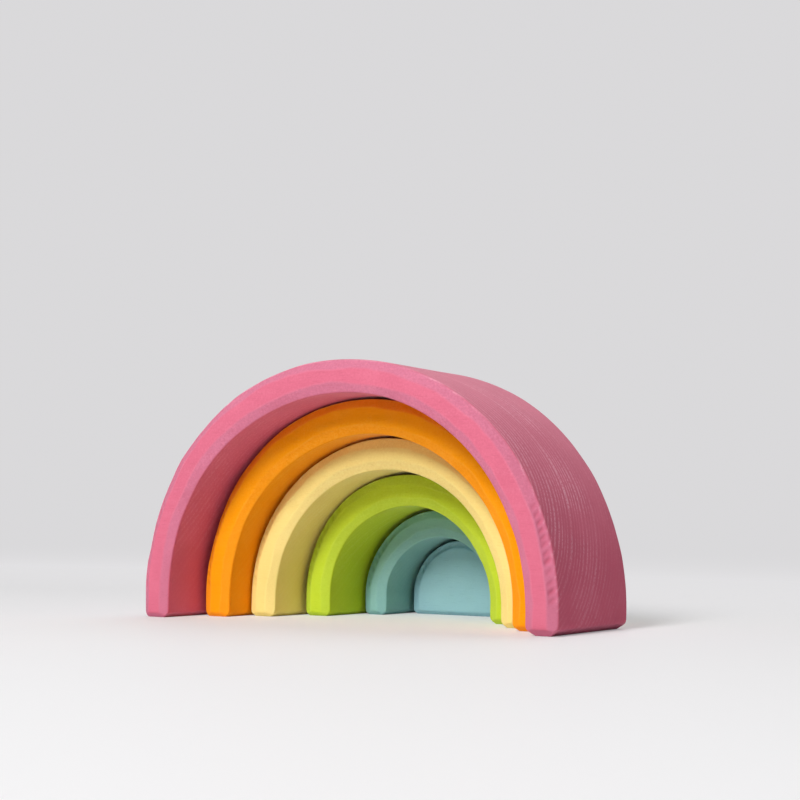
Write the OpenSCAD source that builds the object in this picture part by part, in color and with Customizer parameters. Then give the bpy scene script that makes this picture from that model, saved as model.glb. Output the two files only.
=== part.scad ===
// Nesting rainbow stacker: five wooden arches and a half-round core, sawn from one block.
// Millimetres. +Z is up, every foot stands on z = 0, and the front faces look along -Y.
// The blocks stand one inside the other, each one a step further back than the one round it.

/* [Nest] */
// Length of the largest arch, from foot to foot
nest_length = 170; // [150:1:220]
// Height of the straight foot under the round of each block
foot_rise = 7.5; // [4:0.5:14]
// Depth of each block, from its front face to its back face
block_depth = 57; // [40:1:90]
// Width of the saw cut that parts each block from the next
saw_kerf = 1.7; // [0.8:0.1:2.4]

/* [Walls] */
// Wall of the pink arch, measured across its front face
pink_wall = 11.7; // [8:0.1:14]
// Wall of the orange arch
orange_wall = 12; // [8:0.1:14]
// Wall of the yellow arch
yellow_wall = 10.7; // [8:0.1:14]
// Wall of the green arch
green_wall = 11; // [8:0.1:14]
// Wall of the teal arch
teal_wall = 9.8; // [8:0.1:14]

/* [Stagger] */
// Step back from the front of the pink arch to the front of the orange arch
orange_step = 18.5; // [0:0.5:40]
// Step back from the orange arch to the yellow arch
yellow_step = 12.5; // [0:0.5:40]
// Step back from the yellow arch to the green arch
green_step = 17; // [0:0.5:40]
// Step back from the green arch to the teal arch
teal_step = 22.5; // [0:0.5:40]
// Step back from the teal arch to the core
core_step = 17.5; // [0:0.5:40]

/* [Sanded edges] */
// Width of the sanded edge on the front and back faces
edge_width = 3.3; // [1:0.1:3.6]
// How far that edge falls away along the depth of the block
edge_fall = 1.4; // [0.6:0.1:3.6]
// Height of the sanded edge round the bottom of each foot
foot_edge_height = 2.4; // [0.6:0.1:3.6]
// How far that edge cuts in under the foot
foot_edge_inset = 3; // [0.6:0.1:3.6]

/* [Hidden] */
$fn = 180;

// Rounds, worked inwards: each block is one saw cut smaller than the hollow of the block round it
pink_outer = nest_length / 2;
pink_inner = pink_outer - pink_wall;
orange_outer = pink_inner - saw_kerf;
orange_inner = orange_outer - orange_wall;
yellow_outer = orange_inner - saw_kerf;
yellow_inner = yellow_outer - yellow_wall;
green_outer = yellow_inner - saw_kerf;
green_inner = green_outer - green_wall;
teal_outer = green_inner - saw_kerf;
teal_inner = teal_outer - teal_wall;
core_outer = teal_inner - saw_kerf;

// Front faces, worked backwards from the middle of the nest's whole depth
nest_depth = orange_step + yellow_step + green_step + teal_step + core_step + block_depth;
pink_front = -nest_depth / 2;
orange_front = pink_front + orange_step;
yellow_front = orange_front + yellow_step;
green_front = yellow_front + green_step;
teal_front = green_front + teal_step;
core_front = teal_front + core_step;

// Lean of the sanded edge under the feet, sideways for each unit of height
foot_lean_share = foot_edge_inset / foot_edge_height;
// How far a cutting shape runs past the block it cuts
overrun = 1;

// Section across the wall of an arch: radius along x, depth along y, all four corners sanded off
module wall_section(r_in, r_out) {
    polygon([
        [r_in + edge_width, 0],
        [r_out - edge_width, 0],
        [r_out, edge_fall],
        [r_out, block_depth - edge_fall],
        [r_out - edge_width, block_depth],
        [r_in + edge_width, block_depth],
        [r_in, block_depth - edge_fall],
        [r_in, edge_fall],
    ]);
}

// Section from the middle of the solid core out to its round, sanded at the two outer corners
module core_section(r_out) {
    polygon([
        [0, 0],
        [r_out - edge_width, 0],
        [r_out, edge_fall],
        [r_out, block_depth - edge_fall],
        [r_out - edge_width, block_depth],
        [0, block_depth],
    ]);
}

// Turns a section through half a circle, standing on top of the feet
module half_round() {
    translate([0, 0, foot_rise])
        rotate([90, 0, 180])
            rotate_extrude(angle = 180)
                children();
}

// Upright outline that tapers down to the sole of a foot; a and b are the foot's sides,
// and the slanted lines are the sanded edges, run on past the sole and the top
module foot_taper(a, b) {
    low = -overrun;
    high = foot_rise + overrun;
    polygon([
        [a + foot_edge_inset - low * foot_lean_share, low],
        [b - foot_edge_inset + low * foot_lean_share, low],
        [b - foot_edge_inset + high * foot_lean_share, high],
        [a + foot_edge_inset - high * foot_lean_share, high],
    ]);
}

// Straight foot between x = a and x = b: the section carried down to the table,
// with the sanded bottom edge on all four sides
module foot(a, b) {
    intersection() {
        linear_extrude(foot_rise)
            wall_section(a, b);
        translate([0, block_depth + overrun, 0])
            rotate([90, 0, 0])
                linear_extrude(block_depth + 2 * overrun)
                    foot_taper(a, b);
        translate([a - overrun, 0, 0])
            rotate([90, 0, 90])
                linear_extrude(b - a + 2 * overrun)
                    foot_taper(0, block_depth);
    }
}

// One arch with its front face on y = 0
module arch(r_in, r_out) {
    union() {
        half_round() wall_section(r_in, r_out);
        foot(r_in, r_out);
        foot(-r_out, -r_in);
    }
}

// The solid half-round block that fills the smallest arch
module core(r_out) {
    union() {
        half_round() core_section(r_out);
        foot(-r_out, r_out);
    }
}

// Sets a block back to its place in the nest
module in_nest(front) {
    translate([0, front, 0])
        children();
}

module pink_arch() { color("#E37D95") in_nest(pink_front) arch(pink_inner, pink_outer); }
module orange_arch() { color("#FB9C22") in_nest(orange_front) arch(orange_inner, orange_outer); }
module yellow_arch() { color("#F3DA8A") in_nest(yellow_front) arch(yellow_inner, yellow_outer); }
module green_arch() { color("#BAD146") in_nest(green_front) arch(green_inner, green_outer); }
module teal_arch() { color("#83B4A8") in_nest(teal_front) arch(teal_inner, teal_outer); }
module blue_core() { color("#8ABBBE") in_nest(core_front) core(core_outer); }

pink_arch();
orange_arch();
yellow_arch();
green_arch();
teal_arch();
blue_core();
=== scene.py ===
"""Nesting rainbow stacker: five stained wooden arches and a half-round core, sanded by hand.

Every block is a profile carried along the round of its arch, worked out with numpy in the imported
frame, with wavering sanded edges, raised growth rings and the marks that the sander left.
"""
import itertools
import math

import bpy
import numpy as np
from mathutils import Matrix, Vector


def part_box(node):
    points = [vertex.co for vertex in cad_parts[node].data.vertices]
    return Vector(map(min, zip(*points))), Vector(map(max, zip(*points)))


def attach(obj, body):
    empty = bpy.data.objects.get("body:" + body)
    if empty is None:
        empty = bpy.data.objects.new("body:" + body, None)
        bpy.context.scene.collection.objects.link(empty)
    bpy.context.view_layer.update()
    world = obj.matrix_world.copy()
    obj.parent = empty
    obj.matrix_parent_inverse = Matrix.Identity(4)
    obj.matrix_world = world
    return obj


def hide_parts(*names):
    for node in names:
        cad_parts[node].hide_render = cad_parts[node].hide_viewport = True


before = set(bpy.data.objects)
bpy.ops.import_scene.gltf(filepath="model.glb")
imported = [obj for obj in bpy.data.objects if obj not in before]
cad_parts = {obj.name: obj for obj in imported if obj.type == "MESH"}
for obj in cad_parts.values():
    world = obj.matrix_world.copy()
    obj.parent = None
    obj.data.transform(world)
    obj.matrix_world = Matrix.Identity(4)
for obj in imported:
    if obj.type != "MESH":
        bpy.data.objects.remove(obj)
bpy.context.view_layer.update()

MM = 0.001
TINY = 1e-12

# Reading a solid: points this near its side lie on it, and points this far above the feet lie on the round
SIDE_TOLERANCE = 0.02 * MM
ROUND_CLEARANCE = 1 * MM

# Sides of a section from the front face on: an arch's go all the way round, the core's from axis to axis
ARCH_SIDES = ("face", "edge", "outer", "edge", "face", "edge", "inner", "edge")
CORE_SIDES = ("face", "edge", "outer", "edge", "face")
# The two edges that border the round outside
NOTCHED_SIDES = (1, 3)

# Sanded edges
EDGE_WIDTH = 3.3 * MM
EDGE_FALL = 1.4 * MM
CORNER_ROUND = 0.5 * MM
FOOT_EDGE_HEIGHT = 2.4 * MM
FOOT_EDGE_LEAN = 1.25
FOOT_EDGE_ROUND = 0.5 * MM
# The sanded finish ends over this part of the foot edge's own height
FOOT_SANDED_FADE = (0.6, 1.1)
# The edges waver along the path: a slow waver, and a weaker one that swings three times as often
EDGE_WAVER_SHARE = 0.14
EDGE_WAVER_CELL = 11 * MM
FAST_WAVER_SHARE = 0.35
FAST_WAVER_SWINGS = 3

# Mesh spacing across each kind of side, and along the path, which is finer low down where the notches are
SIDE_STEPS = {"face": 0.65 * MM, "edge": 0.45 * MM, "outer": 0.5 * MM, "inner": 0.95 * MM}
CORNER_POINTS = 5
FOOT_STATIONS = 11
LEG_STATIONS = 6
ARC_STEP = 1.3 * MM
LOW_ARC_STEP = 0.5 * MM
LOW_ARC_LENGTH = 42 * MM
LOW_ARC_MOST = math.pi / 4
MERGE_GRID = 0.0005 * MM

# Growth rings: cylinders along X round a pith in front of each block
PITH_AHEAD = 38 * MM
PITH_HEIGHT = 62 * MM
RING_SPACING = 2.15 * MM
RING_SHARPNESS = 1.5
RING_RELIEF = 0.05 * MM
RING_WOBBLE = 0.4 * MM
RING_WOBBLE_CELLS = (70 * MM, 16 * MM, 16 * MM)
# From one ring to the next the spacing and the height change
ONE_RING = 1.0
RING_JITTER_SHARE = 0.28
RING_UNEVEN_SHARE = 0.15
# Along a ring the height comes and goes in patches
RING_PATCH_SHARE = 0.3
RING_PATCH_CELL = 9 * MM
# How plainly the rings show on each kind of side
SIDE_FIGURES = {"face": 0.05, "edge": 0.06, "outer": 1.0, "inner": 0.22}
# The rings fade on the last part of the depth and towards the feet
BACK_FADE = (0.55, 0.85)
BACK_CALM_SHARE = 0.85
FOOT_FADE = (4 * MM, 46 * MM)
FOOT_CALM_SHARE = 0.65

# Hand work: shallow swells of the sanded faces, and notches that the sander cut across end grain
SWELL = 0.07 * MM
SWELL_CELL = 13 * MM
NOTCH_DEPTH = 0.62 * MM
NOTCH_DEPTH_SHARES = (0.45, 1)
NOTCH_WIDTH = 0.95 * MM
NOTCH_GAPS = (2.2 * MM, 3.8 * MM)
NOTCH_DRAWS = 12
NOTCH_LOWEST = 8 * MM
NOTCH_HIGHEST = 44 * MM
NOTCH_SLANT_SHARE = 0.45
NOTCH_FADE_POWER = 0.7
# Rings, swells and notches die out next to a sole, and next to the core's axis
SOLE_CALM = 1.6 * MM
AXIS_CALM = 3 * MM
# Sanding raises a fuzz of fibres, more so higher up, and less on the faces than on the edges
FUZZ_HEIGHTS = (20 * MM, 62 * MM)
FACE_FUZZ_SHARE = 0.6

# Random draws: each block has its own run of seeds, and each effect its own place in that run
BLOCK_SEEDS = 1000
WIDTH_SEED = 0
FALL_SEED = 20
WOBBLE_SEED = 41
JITTER_SEED = 42
PATCH_SEED = 43
SWELL_SEED = 44
UNEVEN_SEED = 45
NOTCH_SEED = 50

# Blocks from the outside in: slot, and the stain and sanded colours as linear light
STAINS = {
    "pink_arch": ("pink_stain", (0.73, 0.168, 0.258), (0.62, 0.222, 0.335)),
    "orange_arch": ("orange_stain", (1.0, 0.365, 0.005), (1.0, 0.335, 0.018)),
    "yellow_arch": ("yellow_stain", (0.935, 0.76, 0.26), (0.92, 0.74, 0.275)),
    "green_arch": ("green_stain", (0.535, 0.69, 0.04), (0.49, 0.65, 0.065)),
    "teal_arch": ("teal_stain", (0.26, 0.49, 0.47), (0.24, 0.465, 0.47)),
    "blue_core": ("blue_stain", (0.35, 0.60, 0.655), (0.345, 0.59, 0.655)),
}
CORE = "blue_core"

# How the hand-sawn rounds stray from true circles, in millimetres, from the right foot (0 degrees)
# over the top (90) to the left foot (180)
DRIFT_DEGREES = (0, 30, 60, 90, 120, 150, 180)
OUTER_DRIFT = {
    "pink_arch": (-0.5, 0.0, 0.2, -0.5, 0.2, 0.4, 0.0),
    "orange_arch": (-0.4, -0.2, 0.3, 0.35, 0.45, -0.15, -0.5),
    "yellow_arch": (0.2, 0.0, 0.2, 0.7, 0.1, 0.5, 0.85),
    "green_arch": (0.0, 0.0, 0.0, 0.35, 0.8, 0.3, 0.0),
    "teal_arch": (0.0, -0.2, -0.2, 0.1, -0.15, -0.2, 0.25),
    "blue_core": (0.0, 0.0, -0.2, 0.0, -0.05, -0.1, 0.2),
}
INNER_DRIFT = {
    "pink_arch": (-0.25, -0.15, -0.05, -0.5, -0.3, 0.6, 0.35),
    "orange_arch": (-0.85, -0.6, -0.35, -0.1, -0.5, 0.1, 0.0),
    "yellow_arch": (0.6, 0.1, 0.3, -0.1, -0.25, -0.15, 0.6),
    "green_arch": (-0.2, -0.55, -0.35, -0.1, -0.15, 0.3, 0.0),
    "teal_arch": (0.0, 0.0, 0.2, -0.2, -0.45, -0.2, 0.35),
}
# How far the outer edge of each arch's front falls back
OUTER_FALL = {
    "pink_arch": 2.1 * MM,
    "orange_arch": 2.1 * MM,
    "yellow_arch": 1.4 * MM,
    "green_arch": 1.6 * MM,
    "teal_arch": 1.4 * MM,
}
# Heights of the right and left foot edges; the core's two meet in the middle, so they are alike
FOOT_EDGES = {
    "pink_arch": (2.4 * MM, 1.6 * MM),
    "orange_arch": (1.9 * MM, 1.4 * MM),
    "yellow_arch": (1.8 * MM, 1.5 * MM),
    "green_arch": (1.8 * MM, 1.4 * MM),
    "teal_arch": (1.6 * MM, 1.4 * MM),
    "blue_core": (1.4 * MM, 1.4 * MM),
}

# Patterns in the wood, in cells for each metre along X, Y and Z, or the same all ways
FIBRE_SCALES = (90, 2600, 2600)
PORE_SCALES = (160, 1500, 1500)
SPECKLE_SCALE = 1250.0
UPTAKE_SCALE = 55.0
FIGURE_MASKS = ("Fibre", "Pores", "Uptake", "Speckle")
SURFACE_MASKS = ("Grain", "Figure", "End", "Painted_sheen", "Sanded", "Fuzz", "Rubbed", "Notch")

# Tones of a stain: a coat of another thickness is the stain's colour to that power
TONES = ("Even", "Deep", "Pale", "Chalk_and_highlight", "End", "Sanded")
DEEP_THICKNESS = 1.12
DEEP_GAIN = 0.8
PALE_GAIN = 1.15
PALE_LIFT = 0.07
# The pale chalk tone is a thin coat on the crests of the rings, where it also paints a highlight, and it
# paints the sheen on upward-facing tops; end grain drinks a thick coat
CHALK_AND_HIGHLIGHT_THICKNESS = 0.52
END_GRAIN_THICKNESS = 1.2
# End grain shows where the surface faces along the fibres, and less so inside an arch
END_GRAIN_POWER = 4
INNER_END_SHARE = 0.5
# Painted sheen: the round outside is painted paler where it faces upwards, standing in for the pale veil of
# light it catches from above and behind: the range of the upward slope over which it comes in
PAINTED_SHEEN_SLOPES = (0.1, 0.8)

# Finish: the strength of an effect, or the span of a pattern over which it comes in,
# followed in the longer rows by the effect's own strength at both ends of that span
PORE_SPAN = (0.08, 0.3, 1.0, 0.0)
SANDED_SHARE = 0.6
END_GRAIN_SHARE = 0.8
# Strength of the painted sheen on the upward-facing round outside
PAINTED_SHEEN_SHARE = 0.25
SOFT_RING_SPAN = (0.3, 0.05)
SOFT_RING_SHARE = 0.3
# Pale tone on the crests of the growth rings: partly the rings' own thin coat of stain, partly a painted
# highlight of the light that the raised crests catch
RING_CREST_SPAN = (0.25, 0.8)
LINE_BEAD_SPAN = (0.40, 0.56, 0.1, 1.0)
DEEP_UPTAKE_SPAN = (0.45, 0.72, 0.0, 0.2)
PALE_UPTAKE_SPAN = (0.5, 0.3, 0.0, 0.12)
PALE_FIBRE_SPAN = (0.4, 0.75, 0.0, 0.08)
FLECK_SPAN = (0.5, 0.72)
SPECK_SPAN = (0.5, 0.28)
SPECKLE_SHARE = 0.07
FUZZ_SPECKLE_SHARE = 0.2
PORE_SHARE = 0.24
RUBBED_SPAN = (0.4, 0.65, 0.0, 0.25)
NOTCH_SHARE = 0.8
ROUGHNESS_SPAN = (0.3, 0.7, 0.60, 0.74)
SANDED_ROUGHNESS = 0.06
FIBRE_HEIGHT = 0.3
LINE_HEIGHT = 0.4
PORE_DEPTH = 0.4
BUMP_STRENGTH = 0.5
BUMP_DISTANCE = 0.12 * MM
SPECULAR_LEVEL = 0.2
SHEEN_WEIGHT = 0.15
SHEEN_ROUGHNESS = 0.25

# Camera of the portrait
IMAGE_PIXELS = 800
SENSOR_WIDTH = 36.0
FOCAL_PIXELS = 1623.2
CLIP_START = 0.01
CAMERA_PLACE = (0.31186, -0.53757, 0.03483)
CAMERA_AZIMUTH = math.radians(31.57)
CAMERA_PITCH = math.radians(4.40)
CAMERA_ROLL = math.radians(0.67)

# Studio, in metres, degrees and watts
FLOOR_RADIUS = 3.0
FLOOR_DROP = 0.02 * MM
FLOOR_RINGS = 24
FLOOR_SPOKES = 96
FLOOR_COLOUR = (0.87, 0.865, 0.87, 1)
FLOOR_ROUGHNESS = 0.6
FLOOR_SPECULAR = 0.15
# Painted light on the floor: a glow brighter than the backdrop round the pool point in front, seen by
# camera rays over part of the floor's real shading, which lightens its shadows
FLOOR_PAINTED_LIGHT = (0.90, 0.89, 0.905, 1)
FLOOR_PAINTED_LIGHT_SHARE = 0.3
# The floor's painted pool of light fades into the backdrop as one over the distance from this point falls
# through this span
FLOOR_LIGHT_POOL = (-0.12, -0.3, 0)
FLOOR_FADE = (2.6, 0.4)
BACKDROP_COLOUR = (0.70, 0.693, 0.705, 1)
WORLD_LIGHT = (0.03, 0.03, 0.031, 1)
LAMPS = {
    "key_box": {
        "azimuth": 0, "elevation": 37.5, "distance": 1.6,
        "width": 0.45, "height": 0.6, "watts": 21.5},
    "back_box": {
        "azimuth": 178, "elevation": 64, "distance": 1.4,
        "width": 1.2, "height": 1.2, "watts": 7.5},
}


def value_noise(points, cell, seed):
    """Smooth noise from -1 to 1: seeded random values at a lattice's corners, blended by smoothstep."""
    flat = points.reshape(-1, points.shape[-1])
    scaled = (points - flat.min(axis=0)) / np.asarray(cell)
    base = np.floor(scaled).astype(int)
    part = scaled - base
    part = part * part * (3 - 2 * part)
    size = base.reshape(flat.shape).max(axis=0) + 2
    lattice = np.random.default_rng(seed).uniform(-1, 1, size)
    total = np.zeros(points.shape[:-1])
    for corner in itertools.product((0, 1), repeat=points.shape[-1]):
        weight = np.where(corner, part, 1 - part).prod(axis=-1)
        total += weight * lattice[tuple(np.moveaxis(base + corner, -1, 0))]
    return total


def soft_max(a, b, width):
    """The larger of two values, with the crossing rounded over the given width."""
    return 0.5 * (a + b + np.sqrt((a - b) ** 2 + width ** 2))


def soft_min(a, b, width):
    """The smaller of two values, with the crossing rounded over the given width."""
    return -soft_max(-a, -b, width)


def smooth_step(low, high, value):
    """0 below low, 1 above high and an S curve between."""
    t = np.clip((value - low) / (high - low), 0, 1)
    return t * t * (3 - 2 * t)


def block_sizes(node):
    """Outer and inner radius, rise of the straight foot, front and depth of a block, read off its solid."""
    low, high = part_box(node)
    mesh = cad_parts[node].data
    points = np.empty(3 * len(mesh.vertices))
    mesh.vertices.foreach_get("co", points)
    x, _, z = points.reshape(-1, 3).T
    outer = (high[0] - low[0]) / 2
    rise = z[np.abs(x) > outer - SIDE_TOLERANCE].max()
    inner = np.hypot(x, z - rise)[z > rise + ROUND_CLEARANCE].min()
    return outer, inner, rise, low[1], high[1] - low[1]


def half_round_path(outer, rise):
    """Path from the right sole up, over the round and down to the left sole.

    Gives each station's angle about the round's axis, its drop below that axis on the straight feet,
    and its distance along the path from the nearer sole.
    """
    foot = np.concatenate([
        np.linspace(0, FOOT_EDGE_HEIGHT, FOOT_STATIONS),
        np.linspace(FOOT_EDGE_HEIGHT, rise, LEG_STATIONS)[1:-1]])
    low_angle = min(LOW_ARC_LENGTH / outer, LOW_ARC_MOST)
    low_count = math.ceil(low_angle * outer / LOW_ARC_STEP)
    high_count = math.ceil((math.pi - 2 * low_angle) * outer / ARC_STEP)
    low = np.linspace(0, low_angle, low_count, endpoint=False)
    high = np.linspace(low_angle, math.pi - low_angle, high_count, endpoint=False)
    last = math.pi - low[::-1]
    arc = np.concatenate([low, high, [math.pi - low_angle], last])
    angle = np.concatenate([np.zeros_like(foot), arc, np.full_like(foot, math.pi)])
    drop = np.concatenate([rise - foot, np.zeros_like(arc), (rise - foot)[::-1]])
    travel = np.concatenate([foot, rise + outer * np.minimum(arc, math.pi - arc), foot[::-1]])
    return angle, drop, travel


def drifted(radius, drift, angle):
    """A radius that strays with the angle: a cosine series through the drift at each set angle."""
    order = np.arange(len(drift))
    at_stops = np.cos(np.outer(np.radians(DRIFT_DEGREES), order))
    return radius + MM * np.cos(np.outer(angle, order)) @ np.linalg.solve(at_stops, drift)


def wavering(travel, size, seed):
    """A sanded size that wanders along the path, as hand work does: the size times one plus two noises."""
    run = np.cumsum(np.abs(np.gradient(travel)))
    slow = value_noise(run[:, None], EDGE_WAVER_CELL, seed)
    fast = value_noise(run[:, None], EDGE_WAVER_CELL / FAST_WAVER_SWINGS, seed + 1)
    return size * (1 + EDGE_WAVER_SHARE * (slow + FAST_WAVER_SHARE * fast))


def wavering_edges(travel, sizes, seed):
    """One wavering size for each edge of a section; each of them takes two seeds."""
    return [wavering(travel, size, seed + 2 * k) for k, size in enumerate(sizes)]


def arch_corners(low, high, depth, travel, outer_fall, seed):
    """Eight corners (radius, depth) of an arch's section at each station, starting at the front inside."""
    width = wavering_edges(travel, [EDGE_WIDTH] * 4, seed + WIDTH_SEED)
    fall = wavering_edges(travel, [EDGE_FALL, outer_fall, EDGE_FALL, EDGE_FALL], seed + FALL_SEED)
    front, back = np.zeros_like(travel), np.full_like(travel, depth)
    rows = [
        (low + width[0], front), (high - width[1], front),
        (high, front + fall[1]), (high, back - fall[2]),
        (high - width[2], back), (low + width[3], back),
        (low, back - fall[3]), (low, front + fall[0])]
    return np.stack([np.stack(row, axis=-1) for row in rows], axis=1)


def core_corners(high, depth, travel, seed):
    """Six corners (radius, depth) of the core's half section, from the axis in front to the axis behind."""
    width = wavering_edges(travel, [EDGE_WIDTH] * 2, seed + WIDTH_SEED)
    fall = wavering_edges(travel, [EDGE_FALL] * 2, seed + FALL_SEED)
    front, back = np.zeros_like(travel), np.full_like(travel, depth)
    axis = np.zeros_like(travel)
    rows = [
        (axis, front), (high - width[0], front), (high, front + fall[0]),
        (high, back - fall[1]), (high - width[1], back), (axis, back)]
    return np.stack([np.stack(row, axis=-1) for row in rows], axis=1)


def rounded_outline(corners, steps, closed):
    """Straight sides between corners, joined by quadratic curves that cut each corner by CORNER_ROUND.

    Returns the points (station, point, 2) and, for each point, the number of its side, how far along
    that side it lies, and how deep it lies in a rounded corner, from 0 to 1. On the corner before a
    side the distance along that side runs from -1 to 0.
    """
    count = corners.shape[1]
    before = np.roll(corners, 1, axis=1) - corners
    after = np.roll(corners, -1, axis=1) - corners
    start = corners + CORNER_ROUND * before / np.linalg.norm(before, axis=-1, keepdims=True)
    end = corners + CORNER_ROUND * after / np.linalg.norm(after, axis=-1, keepdims=True)
    if not closed:
        start[:, [0, -1]] = corners[:, [0, -1]]
        end[:, [0, -1]] = corners[:, [0, -1]]
    bend = np.linspace(0, 1, CORNER_POINTS)[None, :, None]
    points, side, along, on_corner = [], [], [], []
    for k in range(count):
        if closed or 0 < k < count - 1:
            c = corners[:, k, None]
            points.append((1 - bend) ** 2 * start[:, k, None] + 2 * bend * (1 - bend) * c
                          + bend ** 2 * end[:, k, None])
            side.append(np.full(CORNER_POINTS, k))
            along.append(bend.ravel() - 1)
            on_corner.append(np.sin(np.pi * bend.ravel()))
        else:
            points.append(corners[:, k, None])
            side.append(np.full(1, min(k, count - 2)))
            along.append(np.full(1, float(k > 0)))
            on_corner.append(np.zeros(1))
        if closed or k < count - 1:
            following = (k + 1) % count
            length = np.linalg.norm(corners[0, following] - corners[0, k])
            share = np.linspace(0, 1, math.ceil(length / steps[k]) + 1)[1:-1]
            t = share[None, :, None]
            points.append((1 - t) * end[:, k, None] + t * start[:, following, None])
            side.append(np.full(share.size, k))
            along.append(share)
            on_corner.append(np.zeros(share.size))
    return (np.concatenate(points, axis=1), np.concatenate(side),
            np.concatenate(along), np.concatenate(on_corner))


def held_in_feet(outline, low, high, depth, margin):
    """Radius and depth of the section, kept inside the block's sides by a margin that grows towards a sole.

    The core has no low side: its section starts on the axis and stays there.
    """
    r = soft_min(outline[..., 0], high[:, None] - margin, FOOT_EDGE_ROUND)
    if low is None:
        r = r * (outline[..., 0] > 0)
    else:
        r = soft_max(r, low[:, None] + margin, FOOT_EDGE_ROUND)
    y = soft_max(outline[..., 1], margin, FOOT_EDGE_ROUND)
    y = soft_min(y, depth - margin, FOOT_EDGE_ROUND)
    return r, y


def outward_normals(points, closed):
    """Unit normals of the grid: the step along the section crossed with the step along the path."""
    if closed:
        along_section = np.roll(points, -1, axis=1) - np.roll(points, 1, axis=1)
    else:
        along_section = np.gradient(points, axis=1)
    normal = np.cross(along_section, np.gradient(points, axis=0))
    return normal / (np.linalg.norm(normal, axis=-1, keepdims=True) + TINY)


def growth_rings(own, seed):
    """Height of the growth rings, at most 1: a sharpened cosine of the wobbling distance from the pith.

    The count of rings is jittered, and the height changes in patches and from ring to ring.
    """
    wobble = RING_WOBBLE * value_noise(own, RING_WOBBLE_CELLS, seed + WOBBLE_SEED)
    ring = np.hypot(own[..., 1] + PITH_AHEAD, own[..., 2] - PITH_HEIGHT) + wobble
    count = ring / RING_SPACING
    count = count + RING_JITTER_SHARE * value_noise(count[..., None], ONE_RING, seed + JITTER_SEED)
    ridge = (0.5 + 0.5 * np.cos(2 * np.pi * count)) ** RING_SHARPNESS
    patches = value_noise(own, RING_PATCH_CELL, seed + PATCH_SEED)
    ridge *= (1 - RING_PATCH_SHARE) + RING_PATCH_SHARE * patches
    uneven = 0.5 + 0.5 * value_noise(count[..., None], ONE_RING, seed + UNEVEN_SEED)
    return ridge * (1 - RING_UNEVEN_SHARE * uneven)


def notch_row(travel, along, seed):
    """Depth of the sander's notches on a sanded edge: narrow bells at seeded distances from the sole.

    Each notch slants across the edge, and fades out towards the edge's two borders.
    """
    draw = np.random.default_rng(seed)
    places = NOTCH_LOWEST + np.cumsum(draw.uniform(*NOTCH_GAPS, NOTCH_DRAWS))
    places = places[places < NOTCH_HIGHEST]
    depths = NOTCH_DEPTH * draw.uniform(*NOTCH_DEPTH_SHARES, places.size)
    slanted = travel[:, None] - NOTCH_SLANT_SHARE * EDGE_WIDTH * along[None, :]
    bells = np.exp(-((slanted[..., None] - places) / NOTCH_WIDTH) ** 2) @ depths
    return bells * np.sin(np.pi * along) ** NOTCH_FADE_POWER


def notches(angle, travel, side, along, seed):
    """Depth of all notches of a block: each notched side has its own row on either half of the path."""
    cut = np.zeros((angle.size, side.size))
    on_left = angle > math.pi / 2
    for k in NOTCHED_SIDES:
        row = np.flatnonzero((side == k) & (along >= 0))
        for left in (False, True):
            column = np.flatnonzero(on_left == left)
            row_seed = seed + NOTCH_SEED + 2 * k + left
            cut[np.ix_(column, row)] = notch_row(travel[column], along[row], row_seed)
    return cut


def sanded_edges(kinds, side, along):
    """1 on the sanded edges and 0 on the other sides, with an even change round each corner."""
    is_edge = np.array(kinds) == "edge"
    here = is_edge[side]
    before = is_edge[(side - 1) % is_edge.size]
    return np.where(along < 0, -along * before + (1 + along) * here, here)


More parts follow.
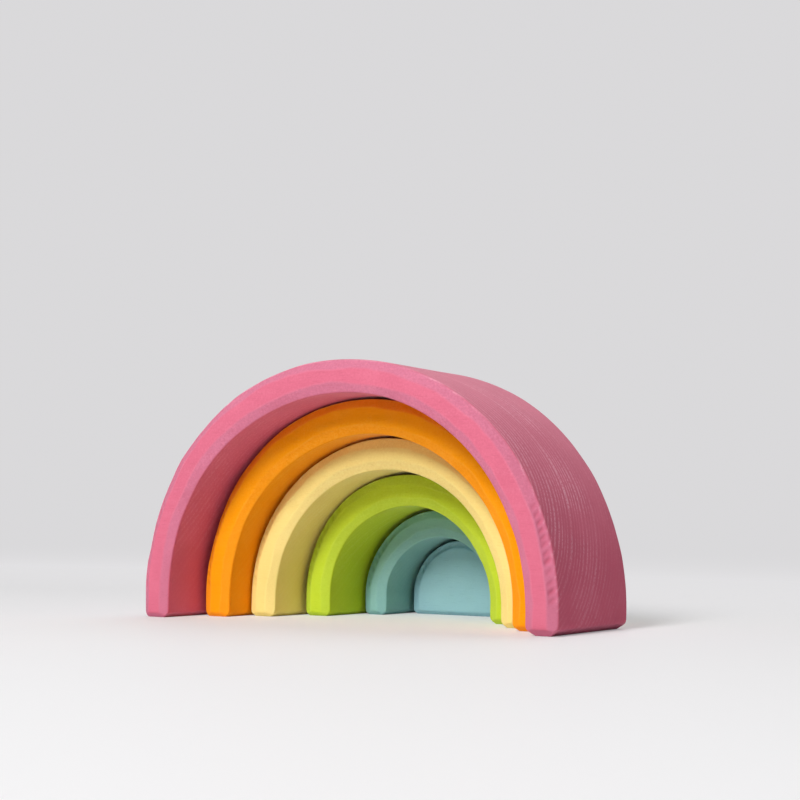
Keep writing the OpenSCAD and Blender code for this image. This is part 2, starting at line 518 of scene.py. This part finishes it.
def block_surface(node, seed):
    """Vertices, faces and surface masks of one block.

    A section (radius, depth) is carried along the half-round path: x = r cos(angle), y = front + depth,
    z = rise - drop + r sin(angle). Close to a sole the section is held in a rectangle that shrinks
    downwards, which makes the sanded foot edge. Growth rings, swells and notches then push the
    surface along its own normals.
    """
    outer, inner, rise, front, depth = block_sizes(node)
    closed = node != CORE
    angle, drop, travel = half_round_path(outer, rise)
    high = drifted(outer, OUTER_DRIFT[node], angle)
    if closed:
        kinds = ARCH_SIDES
        low = drifted(inner, INNER_DRIFT[node], angle)
        corners = arch_corners(low, high, depth, travel, OUTER_FALL[node], seed)
    else:
        kinds = CORE_SIDES
        low = None
        corners = core_corners(high, depth, travel, seed)
    steps = [SIDE_STEPS[kind] for kind in kinds]
    outline, side, along, on_corner = rounded_outline(corners, steps, closed)
    foot_edge = np.where(angle < math.pi / 2, *FOOT_EDGES[node])
    margin = (FOOT_EDGE_LEAN * (foot_edge - travel))[:, None]
    r, y = held_in_feet(outline, low, high, depth, margin)
    turn, fallen = angle[:, None], drop[:, None]
    points = np.stack([r * np.cos(turn), front + y, rise - fallen + r * np.sin(turn)], axis=-1)
    normal = outward_normals(points, closed)

    own = points - (0, front, 0)
    ridge = growth_rings(own, seed)
    shares = np.array([SIDE_FIGURES[kind] for kind in kinds])
    figure = shares[side] * (1 - BACK_CALM_SHARE * smooth_step(*BACK_FADE, y / depth))
    figure *= 1 - FOOT_CALM_SHARE * (1 - smooth_step(*FOOT_FADE, points[..., 2]))
    cut = notches(angle, travel, side, along, seed)
    lift = RING_RELIEF * ridge * figure
    lift += SWELL * value_noise(own, SWELL_CELL, seed + SWELL_SEED)
    lift -= cut
    calm = smooth_step(0, SOLE_CALM, travel)[:, None]
    if not closed:
        calm = calm * smooth_step(0, AXIS_CALM, r)
    points = points + (lift * calm)[..., None] * normal

    kind = np.array(kinds)[side]
    end = np.abs(normal[..., 0]) ** END_GRAIN_POWER
    on_edge = np.broadcast_to(sanded_edges(kinds, side, along), lift.shape)
    sanded = np.maximum(on_edge, 1 - smooth_step(*FOOT_SANDED_FADE, travel / foot_edge)[:, None])
    fuzz = FACE_FUZZ_SHARE + (1 - FACE_FUZZ_SHARE) * sanded
    masks = {
        "grain": ridge,
        "figure": figure,
        "end": end * np.where(kind == "inner", INNER_END_SHARE, 1),
        # Painted sheen: the round outside, marked where it faces upwards, to be painted paler
        "painted_sheen": smooth_step(*PAINTED_SHEEN_SLOPES, normal[..., 2]) * (kind == "outer"),
        "sanded": sanded,
        "fuzz": fuzz * smooth_step(*FUZZ_HEIGHTS, points[..., 2]),
        "rubbed": np.broadcast_to(on_corner, lift.shape),
        "notch": cut / NOTCH_DEPTH,
    }
    return grid_to_faces(points, masks, closed)


def grid_to_faces(points, masks, closed):
    """Vertices, outward faces and masks of a carried section, with its soles closed and doubles merged."""
    stations, count = points.shape[:2]
    index = np.arange(stations * count).reshape(stations, count)
    following = np.roll(index, -1, axis=1) if closed else index[:, 1:]
    here = index if closed else index[:, :-1]
    quads = np.stack([here[:-1], following[:-1], following[1:], here[1:]], axis=-1).reshape(-1, 4)
    if closed:
        soles = [index[0, ::-1], index[-1]]
    else:
        soles = [np.concatenate([index[0, ::-1], index[-1, 1:-1]])]
    keys = np.round(points.reshape(-1, 3) / MERGE_GRID).astype(np.int64)
    _, first, merged = np.unique(keys, axis=0, return_index=True, return_inverse=True)
    merged = merged.ravel()
    vertices = points.reshape(-1, 3)[first]
    quads = merged[quads]
    thin_start = quads[:, 0] == quads[:, 3]
    thin_end = quads[:, 1] == quads[:, 2]
    faces = quads[~(thin_start | thin_end)].tolist()
    faces += quads[thin_start & ~thin_end][:, [0, 1, 2]].tolist()
    faces += quads[thin_end & ~thin_start][:, [0, 1, 3]].tolist()
    faces += [merged[sole].tolist() for sole in soles]
    return vertices, faces, {name: mask.reshape(-1)[first] for name, mask in masks.items()}


def new_piece(name, vertices, faces, masks=None):
    """A smooth-shaded mesh object at the origin, with a float attribute on its vertices for each mask."""
    mesh = bpy.data.meshes.new(name)
    mesh.from_pydata(vertices.tolist(), [], faces)
    mesh.polygons.foreach_set("use_smooth", np.ones(len(mesh.polygons), dtype=bool))
    for title, values in (masks or {}).items():
        layer = mesh.attributes.new(title, "FLOAT", "POINT")
        layer.data.foreach_set("value", np.clip(values, 0, 1).astype(np.float32))
    mesh.update()
    piece = bpy.data.objects.new(name, mesh)
    bpy.context.scene.collection.objects.link(piece)
    return piece


class NodeBench:
    """Adds nodes to one tree, feeding each named input from a socket or a plain value."""

    # Places of a Mix node's factor and colour sockets, because its names repeat for each type of data
    MIX_INPUTS = (0, 6, 7)
    MIX_OUTPUT = 2

    def __init__(self, tree):
        self.tree = tree

    def feed(self, socket, value):
        """Links a socket to another one, or sets its own plain value."""
        if isinstance(value, bpy.types.NodeSocket):
            self.tree.links.new(value, socket)
        else:
            socket.default_value = value

    def add(self, kind, inputs=None, **settings):
        """A new node with its settings and its named inputs."""
        node = self.tree.nodes.new(kind)
        for name, value in settings.items():
            setattr(node, name, value)
        for name, value in (inputs or {}).items():
            self.feed(node.inputs[name], value)
        return node

    def math(self, operation, *values, clamp=False):
        """The result of one sum on numbers."""
        node = self.add("ShaderNodeMath", operation=operation, use_clamp=clamp)
        for socket, value in zip(node.inputs, values):
            self.feed(socket, value)
        return node.outputs[0]

    def mix(self, factor, a, b):
        """A colour that goes over from a to b as the factor goes from 0 to 1."""
        node = self.add("ShaderNodeMix", data_type="RGBA")
        for place, value in zip(self.MIX_INPUTS, (factor, a, b)):
            self.feed(node.inputs[place], value)
        return node.outputs[self.MIX_OUTPUT]

    def spread(self, value, low, high, to_low=0.0, to_high=1.0):
        """An S curve that takes the span from low to high to another span."""
        node = self.add("ShaderNodeMapRange", {
            "Value": value, "From Min": low, "From Max": high, "To Min": to_low, "To Max": to_high},
            interpolation_type="SMOOTHSTEP")
        return node.outputs["Result"]

    def scaled(self, vector, scale):
        """A vector with each axis times its own scale."""
        node = self.add("ShaderNodeVectorMath", operation="MULTIPLY")
        self.feed(node.inputs[0], vector)
        self.feed(node.inputs[1], scale)
        return node.outputs[0]

    def noise(self, vector, scale, detail, roughness):
        """The value of a noise texture, from 0 to 1."""
        node = self.add("ShaderNodeTexNoise", {
            "Vector": vector, "Scale": scale, "Detail": detail, "Roughness": roughness})
        return node.outputs["Fac"]

    def blend(self, factor, first, second, output):
        """Feeds an output node from a mix of two shaders."""
        node = self.add("ShaderNodeMixShader", {"Fac": factor})
        self.feed(node.inputs[1], first.outputs[0])
        self.feed(node.inputs[2], second.outputs[0])
        self.feed(self.tree.nodes[output].inputs["Surface"], node.outputs[0])


def new_group(name, inputs, outputs):
    """An empty shader node group with named sockets; returns its bench, its inputs and its outputs."""
    tree = bpy.data.node_groups.new(name, "ShaderNodeTree")
    for title, kind in inputs.items():
        tree.interface.new_socket(name=title, in_out="INPUT", socket_type=kind)
    for title, kind in outputs.items():
        tree.interface.new_socket(name=title, in_out="OUTPUT", socket_type=kind)
    bench = NodeBench(tree)
    return bench, bench.add("NodeGroupInput").outputs, bench.add("NodeGroupOutput").inputs


def wood_figure_group():
    """Figure of the wood: fibres and pores along X, uneven uptake, and the mottling that sanding leaves."""
    bench, given, result = new_group(
        "wood_figure", {"Vector": "NodeSocketVector"}, {mask: "NodeSocketFloat" for mask in FIGURE_MASKS})
    place = given["Vector"]
    cells = bench.add("ShaderNodeTexVoronoi", {"Vector": bench.scaled(place, PORE_SCALES), "Scale": 1.0})
    fibre = bench.noise(bench.scaled(place, FIBRE_SCALES), scale=1.0, detail=3.0, roughness=0.6)
    bench.feed(result["Fibre"], fibre)
    bench.feed(result["Pores"], bench.spread(cells.outputs["Distance"], *PORE_SPAN))
    bench.feed(result["Uptake"], bench.noise(place, UPTAKE_SCALE, detail=3.0, roughness=0.55))
    bench.feed(result["Speckle"], bench.noise(place, SPECKLE_SCALE, detail=2.0, roughness=0.6))
    return bench.tree


def stain_group():
    """Stain on the figure, in layers that each go over those before.

    The coat is thick on end grain, in soft rings, pores and notches, and thin on the crests of the rings,
    raised fibres and rubbed corners; the crests are partly a painted highlight, and upward-facing parts of
    the outside get a painted sheen.
    """
    bench, given, result = new_group(
        "rubbed_stain",
        {**{f"{tone} stain": "NodeSocketColor" for tone in TONES},
         **{mask: "NodeSocketFloat" for mask in FIGURE_MASKS + SURFACE_MASKS}},
        {"Color": "NodeSocketColor", "Roughness": "NodeSocketFloat", "Height": "NodeSocketFloat"})

    def times(a, b):
        return bench.math("MULTIPLY", a, b)

    show = given["Figure"]
    soft_rings = times(bench.spread(given["Grain"], *SOFT_RING_SPAN), times(show, SOFT_RING_SHARE))
    beads = bench.spread(given["Speckle"], *LINE_BEAD_SPAN)
    # Crests of the rings: partly their own thin coat, partly a painted highlight
    ring_crests = times(times(bench.spread(given["Grain"], *RING_CREST_SPAN), beads), show)
    mottling = bench.math("ADD", times(given["Fuzz"], FUZZ_SPECKLE_SHARE), SPECKLE_SHARE)
    layers = (
        (times(given["Sanded"], SANDED_SHARE), "Sanded"),
        (times(given["End"], END_GRAIN_SHARE), "End"),
        # Painted sheen: the upward-facing round outside is painted in the pale chalk tone
        (times(given["Painted_sheen"], PAINTED_SHEEN_SHARE), "Chalk_and_highlight"),
        (soft_rings, "Deep"),
        (ring_crests, "Chalk_and_highlight"),
        (bench.spread(given["Uptake"], *DEEP_UPTAKE_SPAN), "Deep"),
        (bench.spread(given["Uptake"], *PALE_UPTAKE_SPAN), "Pale"),
        (bench.spread(given["Fibre"], *PALE_FIBRE_SPAN), "Pale"),
        (times(bench.spread(given["Speckle"], *FLECK_SPAN), mottling), "Pale"),
        (times(bench.spread(given["Speckle"], *SPECK_SPAN), mottling), "Deep"),
        (times(given["Pores"], PORE_SHARE), "Deep"),
        (times(given["Rubbed"], bench.spread(given["Uptake"], *RUBBED_SPAN)), "Pale"),
        (times(given["Notch"], NOTCH_SHARE), "Deep"),
    )
    colour = given["Even stain"]
    for share, tone in layers:
        colour = bench.mix(share, colour, given[f"{tone} stain"])
    rough = bench.spread(given["Fibre"], *ROUGHNESS_SPAN)
    rough = bench.math("ADD", rough, times(given["Sanded"], SANDED_ROUGHNESS))
    height = bench.math("ADD", times(given["Fibre"], FIBRE_HEIGHT), times(ring_crests, LINE_HEIGHT))
    height = bench.math("SUBTRACT", height, times(given["Pores"], PORE_DEPTH))
    bench.feed(result["Color"], colour)
    bench.feed(result["Roughness"], rough)
    bench.feed(result["Height"], height)
    return bench.tree


def stain_tones(stain, sanded):
    """The tones of one stain as linear light: other thicknesses, a paler coat and the sanded one."""
    even = np.array(stain)
    return {
        "Even": even,
        "Deep": DEEP_GAIN * even ** DEEP_THICKNESS,
        "Pale": np.minimum(PALE_GAIN * even + PALE_LIFT, 1.0),
        "Chalk_and_highlight": even ** CHALK_AND_HIGHLIGHT_THICKNESS,
        "End": even ** END_GRAIN_THICKNESS,
        "Sanded": sanded,
    }


def stained_wood(name, stain, sanded, front, figure, finish):
    """Stained, sanded wood of one block, with the pattern's origin on the middle of its front foot line."""
    material = bpy.data.materials.new(name)
    material.use_nodes = True
    bench = NodeBench(material.node_tree)
    shader = material.node_tree.nodes["Principled BSDF"]
    place = bench.add("ShaderNodeMapping", {
        "Vector": bench.add("ShaderNodeTexCoord").outputs["Object"], "Location": (0, -front, 0)})
    wood = bench.add("ShaderNodeGroup", node_tree=figure)
    bench.feed(wood.inputs["Vector"], place.outputs["Vector"])
    coat = bench.add("ShaderNodeGroup", node_tree=finish)
    for tone, colour in stain_tones(stain, sanded).items():
        coat.inputs[f"{tone} stain"].default_value = (*colour, 1)
    for title in FIGURE_MASKS:
        bench.feed(coat.inputs[title], wood.outputs[title])
    for title in SURFACE_MASKS:
        mask = bench.add("ShaderNodeAttribute", attribute_name=title.lower())
        bench.feed(coat.inputs[title], mask.outputs["Fac"])
    bump = bench.add("ShaderNodeBump", {
        "Height": coat.outputs["Height"], "Strength": BUMP_STRENGTH, "Distance": BUMP_DISTANCE})
    bench.feed(shader.inputs["Base Color"], coat.outputs["Color"])
    bench.feed(shader.inputs["Roughness"], coat.outputs["Roughness"])
    bench.feed(shader.inputs["Normal"], bump.outputs["Normal"])
    shader.inputs["Specular IOR Level"].default_value = SPECULAR_LEVEL
    shader.inputs["Specular Tint"].default_value = (*stain, 1)
    shader.inputs["Sheen Weight"].default_value = SHEEN_WEIGHT
    shader.inputs["Sheen Roughness"].default_value = SHEEN_ROUGHNESS
    return material


def make_blocks():
    """The six blocks, each in place of its CAD node and riding on that node's body."""
    figure, finish = wood_figure_group(), stain_group()
    for number, (node, (slot, stain, sanded)) in enumerate(STAINS.items()):
        vertices, faces, masks = block_surface(node, BLOCK_SEEDS * (number + 1))
        piece = new_piece(f"{node}_block", vertices, faces, masks)
        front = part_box(node)[0][1]
        piece.data.materials.append(stained_wood(slot, stain, sanded, front, figure, finish))
        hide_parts(node)
        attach(piece, node)


def pale_floor():
    """Matt floor that takes shadows near the nest, with a painted pool of glowing light over part of its
    shading for the camera, which fades into the backdrop's own colour far off.
    """
    material = bpy.data.materials.new("pale_floor")
    material.use_nodes = True
    bench = NodeBench(material.node_tree)
    shader = material.node_tree.nodes["Principled BSDF"]
    shader.inputs["Base Color"].default_value = FLOOR_COLOUR
    shader.inputs["Roughness"].default_value = FLOOR_ROUGHNESS
    shader.inputs["Specular IOR Level"].default_value = FLOOR_SPECULAR
    distance = bench.add("ShaderNodeVectorMath", operation="DISTANCE")
    bench.feed(distance.inputs[0], bench.add("ShaderNodeTexCoord").outputs["Object"])
    bench.feed(distance.inputs[1], FLOOR_LIGHT_POOL)
    fade = bench.spread(bench.math("DIVIDE", 1.0, distance.outputs["Value"]), *FLOOR_FADE)
    glow = bench.add("ShaderNodeEmission", {"Color": bench.mix(fade, FLOOR_PAINTED_LIGHT, BACKDROP_COLOUR)})
    seen = bench.add("ShaderNodeLightPath").outputs["Is Camera Ray"]
    # Camera rays see a share of the painted glow even near the nest, which lightens the floor's shadows
    # there
    share = bench.math("ADD", fade, bench.math("MULTIPLY", seen, FLOOR_PAINTED_LIGHT_SHARE), clamp=True)
    bench.blend(share, shader, glow, "Material Output")
    return material


def make_floor():
    """A round floor: spokes, and rings whose radius grows with the square of their number."""
    ring = np.linspace(0, 1, FLOOR_RINGS + 1)[1:, None] ** 2 * FLOOR_RADIUS
    spoke = np.linspace(0, 2 * math.pi, FLOOR_SPOKES, endpoint=False)[None, :]
    x, y = ring * np.cos(spoke), ring * np.sin(spoke)
    points = np.stack([x, y, np.full_like(x, -FLOOR_DROP)], axis=-1).reshape(-1, 3)
    index = np.arange(FLOOR_RINGS * FLOOR_SPOKES).reshape(FLOOR_RINGS, FLOOR_SPOKES)
    turned = np.roll(index, -1, axis=1)
    quads = np.stack([index[:-1], index[1:], turned[1:], turned[:-1]], axis=-1).reshape(-1, 4)
    floor = new_piece("floor", points, quads.tolist() + [index[0].tolist()])
    floor.data.materials.append(pale_floor())


def make_world():
    """Even dim light for surfaces; the camera, gloss and glass see the pale backdrop instead."""
    world = bpy.data.worlds.new("studio")
    world.use_nodes = True
    bpy.context.scene.world = world
    bench = NodeBench(world.node_tree)
    light = world.node_tree.nodes["Background"]
    light.inputs["Color"].default_value = WORLD_LIGHT
    seen = bench.add("ShaderNodeBackground", {"Color": BACKDROP_COLOUR})
    path = bench.add("ShaderNodeLightPath").outputs
    rays = bench.math("ADD", path["Is Camera Ray"], path["Is Glossy Ray"])
    rays = bench.math("ADD", rays, path["Is Transmission Ray"], clamp=True)
    bench.blend(rays, light, seen, "World Output")


def stand(name, device, right, up, back, place):
    """A lamp's or camera's object, put at a place with its three axes; returns the object."""
    holder = bpy.data.objects.new(name, device)
    rows = [(right[k], up[k], back[k], place[k]) for k in range(3)]
    holder.matrix_world = Matrix((*rows, (0, 0, 0, 1)))
    bpy.context.scene.collection.objects.link(holder)
    return holder


def soft_box(name, azimuth, elevation, distance, width, height, watts):
    """An area lamp that looks at the middle of the nest; azimuth 0 is in front, positive to the right."""
    turn, lift = math.radians(azimuth), math.radians(elevation)
    lamp = bpy.data.lights.new(name, "AREA")
    lamp.shape = "RECTANGLE"
    lamp.size = width
    lamp.size_y = height
    lamp.energy = watts
    away = np.array((math.sin(turn) * math.cos(lift), -math.cos(turn) * math.cos(lift), math.sin(lift)))
    side = np.array((math.cos(turn), math.sin(turn), 0))
    stand(name, lamp, side, np.cross(away, side), away, away * distance)


def make_camera():
    """Camera at the portrait's place: heading, pitch and roll turned into its right, up and back axes."""
    turn, lift, roll = CAMERA_AZIMUTH, CAMERA_PITCH, CAMERA_ROLL
    ahead = np.array((-math.sin(turn) * math.cos(lift), math.cos(turn) * math.cos(lift), math.sin(lift)))
    level = np.array((math.cos(turn), math.sin(turn), 0))
    upright = np.cross(level, ahead)
    right = level * math.cos(roll) + upright * math.sin(roll)
    up = upright * math.cos(roll) - level * math.sin(roll)
    lens = bpy.data.cameras.new("portrait_camera")
    lens.sensor_width = SENSOR_WIDTH
    lens.lens = FOCAL_PIXELS / IMAGE_PIXELS * SENSOR_WIDTH
    lens.clip_start = CLIP_START
    bpy.context.scene.camera = stand("portrait_camera", lens, right, up, -ahead, CAMERA_PLACE)


make_camera()
make_blocks()
make_floor()
make_world()
for lamp_name, settings in LAMPS.items():
    soft_box(lamp_name, **settings)
bpy.context.scene.view_settings.view_transform = "Standard"
